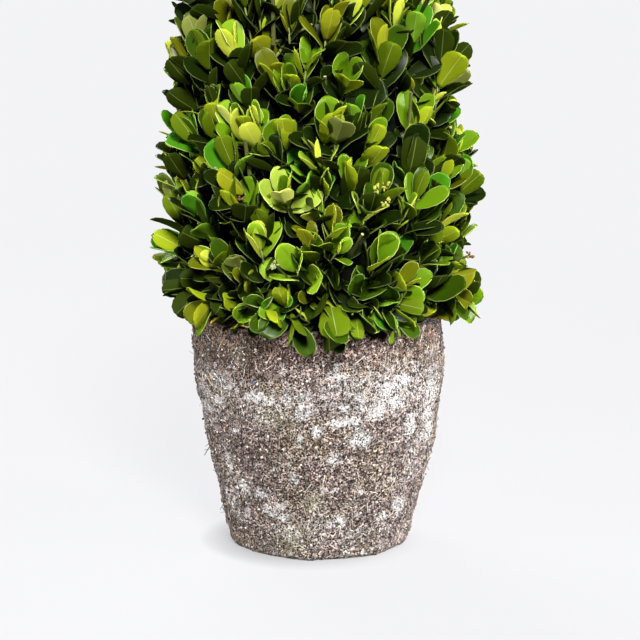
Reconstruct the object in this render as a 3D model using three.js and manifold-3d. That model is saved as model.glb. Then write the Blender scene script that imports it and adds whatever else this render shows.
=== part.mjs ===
// A clipped boxwood cone growing out of a rough peat-and-cement pot. Millimetres, +Z up.
// The origin is the middle of the pot's flat underside.
import * as THREE from "three";
import { mergeVertices } from "three/addons/utils/BufferGeometryUtils.js";
import Module from "manifold-3d";

const wasm = await Module();
wasm.setup();

const CLEARANCE = 0.4; // between pieces that meet
const SLIVER = 0.05; // edges shorter than this are drawn together

// The pot's wall swells from the foot and turns upright at uprightFrom, a share of its height.
const POT = {
  height: 104,
  rimRadius: 56,
  footRadius: 40.5,
  wall: 8,
  floor: 9,
  footRounding: 5,
  rimRounding: 2.5,
  uprightFrom: 0.91,
  sides: 48,
  wallSteps: 4,
};

// Dry planting mix: flat round the stem, then falling a little to the pot's wall.
const FILL = { height: 100, flatRadius: 20, edgeDrop: 3, sides: 32, wallSteps: 2 };

// The stem, from a flat cut on the fill, with a root flare, a slight lean and a bend.
const STEM = {
  topHeight: 322,
  flareRadius: 12,
  flareHeight: 14,
  radius: 6.5,
  topRadius: 2.6,
  lean: 5,
  bend: 2.5,
  sides: 12,
  steps: 12,
};

// The clipped outline that the leaf tips reach, and the darker core that the sprigs stand out of.
const OUTLINE = {
  skirtHeight: 100,
  skirtRadius: 65,
  fullHeight: 132,
  fullRadius: 74,
  tipHeight: 407,
  fullness: 2.1,
};
const CORE = {
  inset: 19.5,
  insetShare: 0.5,
  tipInset: 30,
  peak: 8,
  bottomRadius: 46,
  sides: 24,
  steps: 6,
};

// Each tier of foliage ends in a cone-shaped joint that rises outwards, as its sprigs do.
const JOINTS = [
  { outerHeight: 190, slope: 1.1 },
  { outerHeight: 276, slope: 2.3 },
];
const JOINT_SPARE = 0.8; // height that twigs and leaves keep clear of a joint
const TIERS = ["foliage_lower", "foliage_middle", "foliage_top"];

// Sprigs follow a golden-angle spiral, level or drooping at the skirt and upright at the tip.
const SPRIG = {
  count: 87,
  seed: 33,
  lowElevation: -18,
  highElevation: 90,
  elevationPower: 0.42,
  turnJitter: 9,
  heightJitter: 7,
  elevationJitter: 9,
  depthJitter: 5,
  twigLength: 17,
  twigRadius: 1.5,
  bends: [0, 8, -8, 16, -16, 24],
};
const GOLDEN_ANGLE = Math.PI * (3 - Math.sqrt(5));

// Leaf pairs up each twig, each turned a quarter from the last: place, angle and size.
const PAIRS = [
  { along: 0.5, spread: 54, size: 0.88 },
  { along: 0.78, spread: 42, size: 1.0 },
  { along: 0.96, spread: 22, size: 0.95 },
];
const LEAF = {
  length: 27,
  width: 17,
  thickness: 1.3,
  widestAt: 0.62,
  tipAt: 0.98,
  tipShare: 0.22,
  cup: 0.9,
  sizeJitter: 0.16,
  twist: 18,
  facing: 2.2, // how far the upper side turns to the light, which falls from outside and above
  lightSlope: 0.6,
  closings: [0, 0.25, 0.5, 0.75, 1],
};

const MATERIALS = {
  pot: { color: "#8a8078", roughness: 0.95 },
  fill: { color: "#5b4330", roughness: 1 },
  stem: { color: "#7d6f57", roughness: 0.85 },
  foliage: { color: "#4f7a1e", roughness: 0.55 },
};

const radians = THREE.MathUtils.degToRad;
const lerp = THREE.MathUtils.lerp;

// A repeatable number from 0 to 1 for one draw of one sprig.
function chance(sprig, draw) {
  const wave = Math.sin(sprig * 12.9898 + draw * 78.233 + SPRIG.seed) * 43758.5453;
  return wave - Math.floor(wave);
}

const jitter = (sprig, draw, size) => (2 * chance(sprig, draw) - 1) * size;

// Solids and geometries

function toSolid(geometry) {
  const bare = geometry.clone();
  bare.deleteAttribute("normal");
  bare.deleteAttribute("uv");
  const merged = mergeVertices(bare, 1e-3);
  return new wasm.Manifold(
    new wasm.Mesh({
      numProp: 3,
      vertProperties: new Float32Array(merged.attributes.position.array),
      triVerts: new Uint32Array(merged.index.array),
    }),
  );
}

function toGeometry(solid) {
  const mesh = solid.getMesh();
  const geometry = new THREE.BufferGeometry();
  geometry.setAttribute("position", new THREE.BufferAttribute(mesh.vertProperties, 3));
  geometry.setIndex(new THREE.BufferAttribute(mesh.triVerts, 1));
  geometry.computeVertexNormals();
  return geometry;
}

// Turns an outline of [radius, height] points round the Z axis.
function turned(outline, sides) {
  const points = outline.map(([radius, height]) => new THREE.Vector2(radius, height));
  return new THREE.LatheGeometry(points, sides).rotateX(Math.PI / 2);
}

// Points of a quarter turn between two outline directions, in degrees from +radius.
function corner(radius, height, rounding, from, to, steps) {
  return Array.from({ length: steps + 1 }, (_, i) => {
    const angle = radians(lerp(from, to, i / steps));
    return [radius + rounding * Math.cos(angle), height + rounding * Math.sin(angle)];
  });
}

// The pot and its fill

function potRadius(height) {
  const share = Math.min(1, height / (POT.height * POT.uprightFrom));
  return lerp(POT.footRadius, POT.rimRadius, Math.sin((share * Math.PI) / 2));
}

const innerRadius = (height) => potRadius(height) - POT.wall;

function wallPoints(radiusAt, from, to, steps = POT.wallSteps) {
  return Array.from({ length: steps + 1 }, (_, i) => {
    const height = lerp(from, to, i / steps);
    return [radiusAt(height), height];
  });
}

function potGeometry() {
  const { height, floor, footRounding: foot, rimRounding: rim, footRadius, rimRadius, wall } = POT;
  const outline = [
    [0, 0],
    ...corner(footRadius - foot, foot, foot, -90, -10, 3),
    ...wallPoints(potRadius, 2 * foot, height - 2 * rim),
    ...corner(rimRadius - rim, height - rim, rim, 10, 90, 2),
    ...corner(rimRadius - wall + rim, height - rim, rim, 90, 170, 2),
    ...wallPoints(innerRadius, floor, height - 2 * rim, FILL.wallSteps).reverse(),
    [0, floor],
  ];
  return turned(outline, POT.sides);
}

function fillGeometry() {
  const edgeHeight = FILL.height - FILL.edgeDrop;
  const fillRadius = (height) => innerRadius(height) - CLEARANCE - 0.4; // the facets' own sagitta
  const outline = [
    [0, POT.floor + CLEARANCE],
    ...wallPoints(fillRadius, POT.floor + CLEARANCE, edgeHeight, FILL.wallSteps),
    [FILL.flatRadius, FILL.height],
    [0, FILL.height],
  ];
  return turned(outline, FILL.sides);
}

// The stem

function stemRadius(height) {
  const up = height - FILL.height - CLEARANCE;
  const share = up / (STEM.topHeight - FILL.height);
  const flare = Math.max(0, 1 - up / STEM.flareHeight) ** 2 * (STEM.flareRadius - STEM.radius);
  return lerp(STEM.radius, STEM.topRadius, share) + flare;
}

// The stem's rings are slid sideways by its lean and its bend. A spare makes the hole it stands in.
function stemGeometry(spare = 0) {
  const foot = FILL.height + CLEARANCE;
  const bottom = foot - spare;
  const top = STEM.topHeight + spare;
  const outline = [[0, bottom]];
  for (let i = 0; i <= STEM.steps; i++) {
    const height = lerp(bottom, top, (i / STEM.steps) ** 1.4); // closer rings in the flare
    const within = THREE.MathUtils.clamp(height, foot, STEM.topHeight);
    outline.push([stemRadius(within) + spare, height]);
  }
  outline.push([0, top]);
  const geometry = turned(outline, STEM.sides);
  const position = geometry.getAttribute("position");
  for (let i = 0; i < position.count; i++) {
    const share = (position.getZ(i) - foot) / (STEM.topHeight - foot);
    const bend = STEM.bend * Math.sin(share * Math.PI * 2);
    position.setXY(i, position.getX(i) + STEM.lean * share, position.getY(i) + bend);
  }
  return geometry;
}

// The clipped outline and the core

function outlineRadius(height) {
  const { skirtHeight, skirtRadius, fullHeight, fullRadius, tipHeight, fullness } = OUTLINE;
  if (height < fullHeight) {
    const below = (fullHeight - height) / (fullHeight - skirtHeight);
    return fullRadius - (fullRadius - skirtRadius) * below ** 2;
  }
  const above = Math.min(1, (height - fullHeight) / (tipHeight - fullHeight));
  return fullRadius * (1 - above ** fullness);
}

function coreRadius(height) {
  const outer = outlineRadius(height);
  return outer - Math.min(CORE.inset, outer * CORE.insetShare);
}

// Height of the joint above tier number tier at a distance from the axis.
function jointHeight(tier, radius) {
  const { outerHeight, slope } = JOINTS[tier];
  return outerHeight + slope * (radius - outlineRadius(outerHeight));
}

// Where the core's side meets a joint, found by halving.
function coreMeets(tier) {
  let low = FILL.height;
  let high = JOINTS[tier].outerHeight;
  for (let i = 0; i < 30; i++) {
    const middle = (low + high) / 2;
    if (middle < jointHeight(tier, coreRadius(middle))) low = middle;
    else high = middle;
  }
  return low;
}

function coreGeometry(tier) {
  const isLowest = tier === 0;
  const isTop = tier === TIERS.length - 1;
  const bottomHeight = isLowest ? POT.height + 1.5 : coreMeets(tier - 1) + CLEARANCE;
  const topHeight = isTop ? OUTLINE.tipHeight - CORE.tipInset : coreMeets(tier);
  const outline = isLowest
    ? [
        [0, FILL.height + CLEARANCE],
        [CORE.bottomRadius, FILL.height + CLEARANCE],
        [CORE.bottomRadius, POT.height + 1],
      ]
    : [[0, jointHeight(tier - 1, 0) + CLEARANCE * 2]];
  for (let i = 0; i <= CORE.steps; i++) {
    const height = lerp(bottomHeight, topHeight, i / CORE.steps);
    outline.push([coreRadius(height), height]);
  }
  outline.push([0, isTop ? topHeight + CORE.peak : jointHeight(tier, 0)]);
  return turned(outline, CORE.sides);
}

// Sprigs

// Height that has a share of the outline's area below it.
function heightAtShare(share) {
  const steps = 300;
  const step = (OUTLINE.tipHeight - OUTLINE.skirtHeight) / steps;
  const areas = [0];
  for (let i = 0; i < steps; i++) {
    const height = OUTLINE.skirtHeight + (i + 0.5) * step;
    areas.push(areas[i] + outlineRadius(height) + 3);
  }
  const wanted = share * areas[steps];
  const next = areas.findIndex((area) => area >= wanted);
  if (next <= 0) return OUTLINE.skirtHeight;
  const part = (wanted - areas[next - 1]) / (areas[next] - areas[next - 1]);
  return OUTLINE.skirtHeight + (next - 1 + part) * step;
}

// A sprig's root, its direction and two sideways directions, worked back from where its tip lies.
// It can be bent up from its own elevation, in degrees, to find room.
function sprigPlace(sprig, bentUp = 0) {
  const share = sprig / (SPRIG.count - 1);
  const height = THREE.MathUtils.clamp(
    heightAtShare(share) + jitter(sprig, 1, SPRIG.heightJitter) * (1 - share ** 8),
    OUTLINE.skirtHeight,
    OUTLINE.tipHeight,
  );
  const turn = sprig * GOLDEN_ANGLE + radians(jitter(sprig, 2, SPRIG.turnJitter));
  const upShare = (height - OUTLINE.skirtHeight) / (OUTLINE.tipHeight - OUTLINE.skirtHeight);
  const eased = upShare ** SPRIG.elevationPower;
  const elevation = radians(
    lerp(SPRIG.lowElevation, SPRIG.highElevation, eased) +
      jitter(sprig, 3, SPRIG.elevationJitter) +
      bentUp,
  );
  const out = new THREE.Vector3(Math.cos(turn), Math.sin(turn), 0);
  const along = out.clone().multiplyScalar(Math.cos(elevation));
  along.z = Math.sin(elevation);
  const side = new THREE.Vector3(-Math.sin(turn), Math.cos(turn), 0);
  const up = new THREE.Vector3().crossVectors(along, side);
  const light = out.clone().setZ(LEAF.lightSlope).normalize();
  const depth = chance(sprig, 4) * SPRIG.depthJitter;
  const tip = out.multiplyScalar(outlineRadius(height)).setZ(height).addScaledVector(along, -depth);
  const root = tip.addScaledVector(along, -(SPRIG.twigLength + LEAF.length * 0.9));
  return { root, along, side, up, light };
}

function twigGeometry({ root, along }) {
  const length = SPRIG.twigLength;
  const turnedUp = new THREE.Quaternion().setFromUnitVectors(new THREE.Vector3(0, 1, 0), along);
  return new THREE.ConeGeometry(SPRIG.twigRadius, length, 3)
    .translate(0, length / 2, 0)
    .applyQuaternion(turnedUp)
    .translate(root.x, root.y, root.z);
}

// An obovate leaf of 8 faces: five rim points and one keel point under the blade.
function leafGeometry(base, along, side, size) {
  const under = new THREE.Vector3().crossVectors(along, side);
  const length = LEAF.length * size;
  const half = (LEAF.width * size) / 2;
  const { widestAt, tipAt, tipShare, cup, thickness } = LEAF;
  const point = (forward, sideways, down) =>
    base
      .clone()
      .addScaledVector(along, forward * length)
      .addScaledVector(side, sideways * half)
      .addScaledVector(under, down);
  const points = [
    point(0, 0, 0),
    point(widestAt, -1, -cup),
    point(tipAt, -tipShare * 2, 0),
    point(tipAt, tipShare * 2, 0),
    point(widestAt, 1, -cup),
    point(widestAt * 0.8, 0, thickness),
  ];
  const upperFaces = [0, 4, 1, 1, 4, 2, 2, 4, 3];
  const underFaces = [0, 1, 5, 1, 2, 5, 2, 3, 5, 3, 4, 5, 4, 0, 5];
  const geometry = new THREE.BufferGeometry().setFromPoints(points);
  geometry.setIndex([...upperFaces, ...underFaces]);
  return geometry;
}

// One leaf of a sprig; closed is how far it folds in towards its twig, from 0 to 1.
function sprigLeaf(sprig, place, pair, hand, closed) {
  const { along, spread, size } = PAIRS[pair];
  const draw = 10 + pair * 8 + hand * 4;
  const firstTurn = chance(sprig, 5) * Math.PI;
  const turn = firstTurn + (pair / 2 + hand) * Math.PI + jitter(sprig, draw, 0.25);
  const outwards = place.side.clone().multiplyScalar(Math.cos(turn));
  outwards.addScaledVector(place.up, Math.sin(turn));
  const lean = radians(spread + jitter(sprig, draw + 1, 9)) * (1 - closed);
  const direction = place.along.clone().multiplyScalar(Math.cos(lean));
  direction.addScaledVector(outwards, Math.sin(lean));
  const upper = place.along.clone().multiplyScalar(Math.sin(lean));
  upper.addScaledVector(outwards, -Math.cos(lean)).addScaledVector(place.light, LEAF.facing);
  const across = new THREE.Vector3().crossVectors(direction, upper).normalize();
  across.applyAxisAngle(direction, radians(jitter(sprig, draw + 2, LEAF.twist)));
  const base = place.root.clone().addScaledVector(place.along, along * SPRIG.twigLength);
  return leafGeometry(base, direction, across, size * (1 + jitter(sprig, draw + 3, LEAF.sizeJitter)));
}

// The tier whose space holds a point: under the first joint that lies above it.
function tierAt(x, y, z) {
  const radius = Math.hypot(x, y);
  const found = JOINTS.findIndex((_, tier) => z < jointHeight(tier, radius));
  return found < 0 ? JOINTS.length : found;
}

// True if every point of a geometry is inside one tier's space, clear of its joints.
function keepsTo(tier, geometry) {
  const position = geometry.getAttribute("position");
  for (let i = 0; i < position.count; i++) {
    const [x, y, z] = [position.getX(i), position.getY(i), position.getZ(i)];
    const low = tierAt(x, y, z - JOINT_SPARE);
    const high = tierAt(x, y, z + JOINT_SPARE);
    if (low !== tier || high !== tier) return false;
  }
  return true;
}

const isClear = (solid, blocked) => solid.intersect(blocked).volume() < 1e-6;

// The pot and everything under its rim, a little oversize: no leaf may enter it.
function potSpace() {
  const spare = CLEARANCE * 1.5;
  const outline = [
    [0, -1],
    ...wallPoints((height) => potRadius(height) + spare, 0, POT.height - 1),
    [POT.rimRadius + spare, POT.height + spare],
    [0, POT.height + spare],
  ];
  return toSolid(turned(outline, POT.sides));
}

// A geometry's solid if it keeps to its tier and clear of the pot, or else null.
function fitted(tier, blocked, geometry) {
  if (!keepsTo(tier, geometry)) return null;
  const solid = toSolid(geometry);
  return isClear(solid, blocked) ? solid : null;
}

// The first bend of a sprig whose twig finds room, or null.
function sprigWithRoom(sprig, blocked) {
  for (const bentUp of SPRIG.bends) {
    const place = sprigPlace(sprig, bentUp);
    const middle = place.root.clone().addScaledVector(place.along, SPRIG.twigLength);
    const tier = tierAt(middle.x, middle.y, middle.z);
    const twig = fitted(tier, blocked, twigGeometry(place));
    if (twig) return { place, tier, twig };
  }
  return null;
}

function foliageTiers() {
  const blocked = potSpace();
  const grown = TIERS.map((_, tier) => [toSolid(coreGeometry(tier))]);
  for (let sprig = 0; sprig < SPRIG.count; sprig++) {
    const found = sprigWithRoom(sprig, blocked);
    if (!found) continue;
    const { place, tier, twig } = found;
    grown[tier].push(twig);
    for (let leaf = 0; leaf < PAIRS.length * 2; leaf++) {
      const [pair, hand] = [Math.floor(leaf / 2), leaf % 2];
      for (const closed of LEAF.closings) {
        const solid = fitted(tier, blocked, sprigLeaf(sprig, place, pair, hand, closed));
        if (!solid) continue;
        grown[tier].push(solid);
        break;
      }
    }
  }
  const stemHole = toSolid(stemGeometry(CLEARANCE));
  return grown.map((pieces) => oneBody(wasm.Manifold.union(pieces).subtract(stemHole)));
}

// Drops slivers, loose scraps and sealed hollows, which can part from the body as it is rounded off.
function oneBody(solid) {
  let parts = [solid.simplify(SLIVER)];
  do {
    const largest = parts.reduce((a, b) => (a.volume() > b.volume() ? a : b));
    parts = toSolid(toGeometry(largest)).decompose();
  } while (parts.length > 1);
  return parts[0];
}

// The scene graph

function named(name, geometry, look) {
  const mesh = new THREE.Mesh(geometry, new THREE.MeshStandardMaterial({ metalness: 0, ...look }));
  mesh.name = name;
  return mesh;
}

const topiary = new THREE.Group();
topiary.add(named("pot", potGeometry(), MATERIALS.pot));
topiary.add(named("fill", fillGeometry(), MATERIALS.fill));
topiary.add(named("stem", stemGeometry(), MATERIALS.stem));
foliageTiers().forEach((solid, tier) => {
  topiary.add(named(TIERS[tier], toGeometry(solid), MATERIALS.foliage));
});

export default topiary;
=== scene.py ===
import math

import bmesh
import bpy
import numpy as np
from mathutils import Matrix, Quaternion, Vector, noise


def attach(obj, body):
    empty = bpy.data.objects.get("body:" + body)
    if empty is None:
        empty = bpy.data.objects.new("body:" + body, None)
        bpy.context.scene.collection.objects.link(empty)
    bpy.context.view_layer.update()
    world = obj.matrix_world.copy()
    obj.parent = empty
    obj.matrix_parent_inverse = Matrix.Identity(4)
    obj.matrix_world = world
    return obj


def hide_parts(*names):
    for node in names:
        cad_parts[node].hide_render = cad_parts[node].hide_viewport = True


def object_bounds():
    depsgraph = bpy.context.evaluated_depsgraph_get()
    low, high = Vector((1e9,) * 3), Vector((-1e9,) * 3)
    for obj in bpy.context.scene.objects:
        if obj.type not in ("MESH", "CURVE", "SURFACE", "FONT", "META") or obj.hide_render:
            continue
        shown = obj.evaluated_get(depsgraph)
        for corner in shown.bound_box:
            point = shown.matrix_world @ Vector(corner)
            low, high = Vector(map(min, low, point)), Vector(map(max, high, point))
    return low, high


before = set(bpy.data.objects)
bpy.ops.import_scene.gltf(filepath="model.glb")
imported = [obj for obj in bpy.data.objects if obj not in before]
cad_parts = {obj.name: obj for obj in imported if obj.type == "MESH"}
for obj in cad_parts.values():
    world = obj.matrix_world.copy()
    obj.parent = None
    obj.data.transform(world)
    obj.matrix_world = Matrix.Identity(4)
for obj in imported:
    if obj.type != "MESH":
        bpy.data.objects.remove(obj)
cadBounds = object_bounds()
print("frame loaded")

goldenAngle = math.pi * (3 - math.sqrt(5))


def linear(hexColour):
    # sRGB hex to the linear colour that shaders use
    parts = [int(hexColour[i:i + 2], 16) / 255 for i in (1, 3, 5)]
    return [p / 12.92 if p <= 0.04045 else ((p + 0.055) / 1.055) ** 2.4 for p in parts] + [1.0]


def addNode(tree, kind, settings=None, inputs=None, stops=None):
    # one node with its settings: an input that is given a socket is linked, any other is set,
    # and a colour ramp takes its stops as (place, hex) pairs
    node = tree.nodes.new("ShaderNode" + kind)
    for name, value in (settings or {}).items():
        setattr(node, name, value)
    for name, value in (inputs or {}).items():
        if isinstance(value, bpy.types.NodeSocket):
            tree.links.new(value, node.inputs[name])
        else:
            node.inputs[name].default_value = value
    if stops:
        elements = node.color_ramp.elements
        while len(elements) < len(stops):
            elements.new(1.0)
        for element, (place, hexColour) in zip(elements, stops):
            element.position = place
            element.color = linear(hexColour)
    return node


# a mix node's inputs: 0 is the factor, 6 and 7 are the two colours; its output 2 is the colour
mixed = {"data_type": "RGBA"}
multiplied = {"data_type": "RGBA", "blend_type": "MULTIPLY"}


def newMaterial(name, surface):
    material = bpy.data.materials.new(name)
    material.use_nodes = True
    tree = material.node_tree
    tree.nodes.clear()
    shader = addNode(tree, "BsdfPrincipled", None, surface)
    addNode(tree, "OutputMaterial", None, {"Surface": shader.outputs["BSDF"]})
    return material, tree, shader


def plainMaterials(prefix, colours, roughness):
    return [newMaterial(f"{prefix}{name[0].upper()}{name[1:]}", {
        "Base Color": linear(hexColour), "Roughness": roughness, "Specular IOR Level": 0.15,
    })[0] for name, hexColour in colours.items()]


def toObject(name, mesh, materials):
    piece = bpy.data.objects.new(name, mesh)
    bpy.context.scene.collection.objects.link(piece)
    for material in materials:
        mesh.materials.append(material)
    return piece


def fromBmesh(name, bm, materials, smooth=True):
    mesh = bpy.data.meshes.new(name)
    bm.to_mesh(mesh)
    bm.free()
    mesh.polygons.foreach_set("use_smooth", [smooth] * len(mesh.polygons))
    return toObject(name, mesh, materials)


def turned(profile, steps, merge):
    # a closed shape, turned round the upright axis from (radius, height) pairs
    bm = bmesh.new()
    verts = [bm.verts.new((radius, 0, height)) for radius, height in profile]
    edges = [bm.edges.new(pair) for pair in zip(verts, verts[1:])]
    bmesh.ops.spin(bm, geom=verts + edges, axis=(0, 0, 1), cent=(0, 0, 0), steps=steps,
                   angle=math.tau, use_merge=True)
    bmesh.ops.remove_doubles(bm, verts=bm.verts, dist=merge)
    bmesh.ops.recalc_face_normals(bm, faces=bm.faces)
    return bm


def joinedCopies(name, points, faces, slots, materials, smooth=True):
    # one mesh from many copies of a small shape: points is copies x corners x 3,
    # faces holds each face's corners, as many for every face, and slots is copies x faces
    copies, corners = points.shape[:2]
    loops = (faces[None] + (np.arange(copies) * corners)[:, None, None]).reshape(-1)
    count = copies * len(faces)
    sides = faces.shape[1]
    mesh = bpy.data.meshes.new(name)
    mesh.vertices.add(copies * corners)
    mesh.vertices.foreach_set("co", points.astype(np.float32).reshape(-1))
    mesh.loops.add(count * sides)
    mesh.loops.foreach_set("vertex_index", loops.astype(np.int32))
    mesh.polygons.add(count)
    mesh.polygons.foreach_set("loop_start", np.arange(0, count * sides, sides, dtype=np.int32))
    mesh.polygons.foreach_set("material_index", slots.reshape(-1).astype(np.int32))
    mesh.polygons.foreach_set("use_smooth", [smooth] * count)
    mesh.update(calc_edges=True)
    return toObject(name, mesh, materials)


def blankShape(bm):
    # corners and faces of a small bmesh shape, as arrays
    bm.verts.ensure_lookup_table()
    points = np.array([v.co[:] for v in bm.verts])
    faces = np.array([[v.index for v in f.verts] for f in bm.faces])
    bm.free()
    return points, faces


def tumbled(index, draw):
    # a random turn, from four draws
    axis = Vector([chance(index, draw + step) - 0.5 for step in range(3)]).normalized()
    return np.array(Quaternion(axis, chance(index, draw + 3) * math.tau).to_matrix())


def sameSlots(slots, faces):
    # one material slot for all the faces of each copy
    return np.repeat(np.array(slots)[:, None], len(faces), axis=1)


def unit(vectors):
    return vectors / np.maximum(np.linalg.norm(vectors, axis=-1, keepdims=True), 1e-9)


# the clipped crown grows by the same seeded rule as the solids, carried to finer twigs
crown = {
    "skirtHeight": 0.100, "skirtRadius": 0.065,
    "fullHeight": 0.132, "fullRadius": 0.074,
    "tipHeight": 0.407, "fullness": 2.1,
    "sprigs": 87, "seed": 33,
    "lowElevation": -18, "highElevation": 90, "elevationPower": 0.42,
    "turnJitter": 9, "heightJitter": 0.007, "elevationJitter": 9, "depthJitter": 0.005,
    "twigLength": 0.017,
    "sprigLeaves": 0.0243,    # how far a sprig's leaves reach past its twig on the solids
    "finerTwigs": 5,          # twigs that each sprig forks into
    "fanRadius": 0.025,       # how far apart their tips spread over the outline
    "lift": 14,               # degrees that they rise above the sprig's own slope
    "swing": 26,              # degrees that each may turn aside
    "twigDepth": 0.015,       # how far the deepest tips stay back
    "leafReach": 0.0058,      # how far side leaves stand out past a twig's tip
    "lean": 0.0024,           # to the left above the full part
    "taper": 0.0026,          # how much further in the tips stay above it
    "spacing": 0.0165, "spacingSteps": 40,
    "coreInset": 0.025,
}

leaf = {
    "length": 0.0185, "lengthJitter": 0.22,
    "widthShare": 0.52, "widthJitter": 0.2,
    "thickness": 0.00033,
    "facing": 0.45, "facingJitter": 1.25, "twist": 40,
    "fold": 0.28, "bend": 0.3, "wave": 0.08,
    "rimFrom": 0.935,         # the pale rim's share of the half width
    # pairs down from the twig's tip: distance, spread in degrees, size
    "pairs": [
        (0.0, 15, 0.84), (0.0042, 30, 0.98), (0.0092, 42, 1.02), (0.0148, 52, 0.94),
        (0.0205, 58, 0.9),
    ],
}


def chance(index, draw):
    wave = math.sin(index * 12.9898 + draw * 78.233 + crown["seed"]) * 43758.5453
    return wave - math.floor(wave)


def jitter(index, draw, size):
    return (2 * chance(index, draw) - 1) * size


def atTurn(turn, radius, height):
    return Vector((math.cos(turn) * radius, math.sin(turn) * radius, height))


def outlineRadius(height):
    if height < crown["fullHeight"]:
        below = (crown["fullHeight"] - height) / (crown["fullHeight"] - crown["skirtHeight"])
        return crown["fullRadius"] - (crown["fullRadius"] - crown["skirtRadius"]) * below ** 2
    above = min(1, (height - crown["fullHeight"]) / (crown["tipHeight"] - crown["fullHeight"]))
    return crown["fullRadius"] * (1 - above ** crown["fullness"])


def heightsByArea():
    # a table of the outline's area below each of 301 heights
    step = (crown["tipHeight"] - crown["skirtHeight"]) / 300
    heights = crown["skirtHeight"] + step * np.arange(301)
    rings = [outlineRadius(crown["skirtHeight"] + (i + 0.5) * step) + 0.003 for i in range(300)]
    return heights, np.concatenate([[0], np.cumsum(rings)])


heightTable, areaTable = heightsByArea()


def elevationAt(height):
    share = (height - crown["skirtHeight"]) / (crown["tipHeight"] - crown["skirtHeight"])
    low, high = crown["lowElevation"], crown["highElevation"]
    return low + (high - low) * max(0.0, share) ** crown["elevationPower"]


def onOutline(turn, height):
    return atTurn(turn, outlineRadius(height), height)


def sprigTips():
    # for each sprig its turn, height, elevation and depth, as the solids place it
    placed = []
    last = crown["sprigs"] - 1
    for sprig in range(crown["sprigs"]):
        share = sprig / last
        height = float(np.interp(share * areaTable[-1], areaTable, heightTable))
        height += jitter(sprig, 1, crown["heightJitter"]) * (1 - share ** 8)
        height = min(crown["tipHeight"], max(crown["skirtHeight"], height))
        turn = sprig * goldenAngle + math.radians(jitter(sprig, 2, crown["turnJitter"]))
        elevation = elevationAt(height) + jitter(sprig, 3, crown["elevationJitter"])
        placed.append((turn, height, elevation, chance(sprig, 4) * crown["depthJitter"]))
    return placed


def directionOf(turn, elevation):
    flat = math.cos(math.radians(elevation))
    return Vector((math.cos(turn) * flat, math.sin(turn) * flat, math.sin(math.radians(elevation))))


def spacedTips(tips):
    # pushes tips that crowd each other apart over the outline, so that no wide hole is left
    places = np.array([(turn, height) for turn, height in tips])
    for step in range(crown["spacingSteps"]):
        radius = np.array([max(0.010, outlineRadius(height)) for height in places[:, 1]])
        across = places[:, None, 0] - places[None, :, 0]
        across = (across + math.pi) % math.tau - math.pi
        across = across * (radius[:, None] + radius[None, :]) / 2
        upward = places[:, None, 1] - places[None, :, 1]
        gap = np.sqrt(across ** 2 + upward ** 2) + np.eye(len(places))
        push = np.clip(crown["spacing"] - gap, 0, None) / gap * 0.22
        places[:, 0] += (across * push).sum(axis=1) / radius
        places[:, 1] += (upward * push).sum(axis=1)
        places[:, 1] = np.clip(places[:, 1], crown["skirtHeight"], crown["tipHeight"])
    return places


def growTwigs():
    # every sprig's own twig and the finer ones that fork from its root
    forked, tips = [], []
    for sprig, (turn, height, elevation, depth) in enumerate(sprigTips()):
        along = directionOf(turn, elevation)
        reach = crown["twigLength"] + crown["sprigLeaves"]
        root = onOutline(turn, height) - along * (depth + reach)
        forks = crown["finerTwigs"] + (height > 0.25) + (height > 0.3) * 2
        for fork in range(forks):
            spread = crown["fanRadius"] * math.sqrt(fork / forks)
            around = fork * goldenAngle + chance(sprig, 6) * math.tau
            tipHeight = height + spread * math.sin(around) * 0.9
            nearest = min(crown["tipHeight"], max(crown["skirtHeight"], tipHeight))
            radius = max(0.012, outlineRadius(nearest))
            tips.append((turn + spread * math.cos(around) / radius, tipHeight))
            forked.append((sprig, 1000 + sprig * 20 + fork, root, depth))
    twigs = []
    for (sprig, index, root, depth), (tipTurn, tipHeight) in zip(forked, spacedTips(tips)):
        tipTurn, tipHeight = float(tipTurn), float(tipHeight)
        radius = max(0.012, outlineRadius(tipHeight))
        tipDepth = crown["leafReach"] + 0.003 * min(1, max(0, (0.17 - tipHeight) / 0.03))
        deepest = crown["twigDepth"] * min(1, radius / 0.05)
        tipDepth += crown["taper"] * min(1, max(0, (tipHeight - 0.175) / 0.03))
        tipDepth = tipDepth * min(1, radius / 0.03) + depth * 0.5
        tipDepth += chance(index, 1) ** 1.5 * deepest
        lift = crown["lift"] * min(1, max(0, (tipHeight - 0.112) / 0.03))
        swing = math.radians(jitter(index, 3, crown["swing"]))
        rise = elevationAt(tipHeight) + lift + jitter(index, 2, crown["swing"] * 0.8)
        tipDirection = directionOf(tipTurn + swing, min(92, rise))
        tip = onOutline(tipTurn, tipHeight) - tipDirection * tipDepth
        tip.x -= crown["lean"] * min(1, max(0, (tipHeight - 0.185) / 0.05))
        direction = ((tip - root).normalized() * 0.4 + tipDirection).normalized()
        twigs.append({"index": index, "sprig": sprig, "turn": tipTurn,
                      "root": root, "tip": tip, "along": direction})
    return twigs


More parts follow.
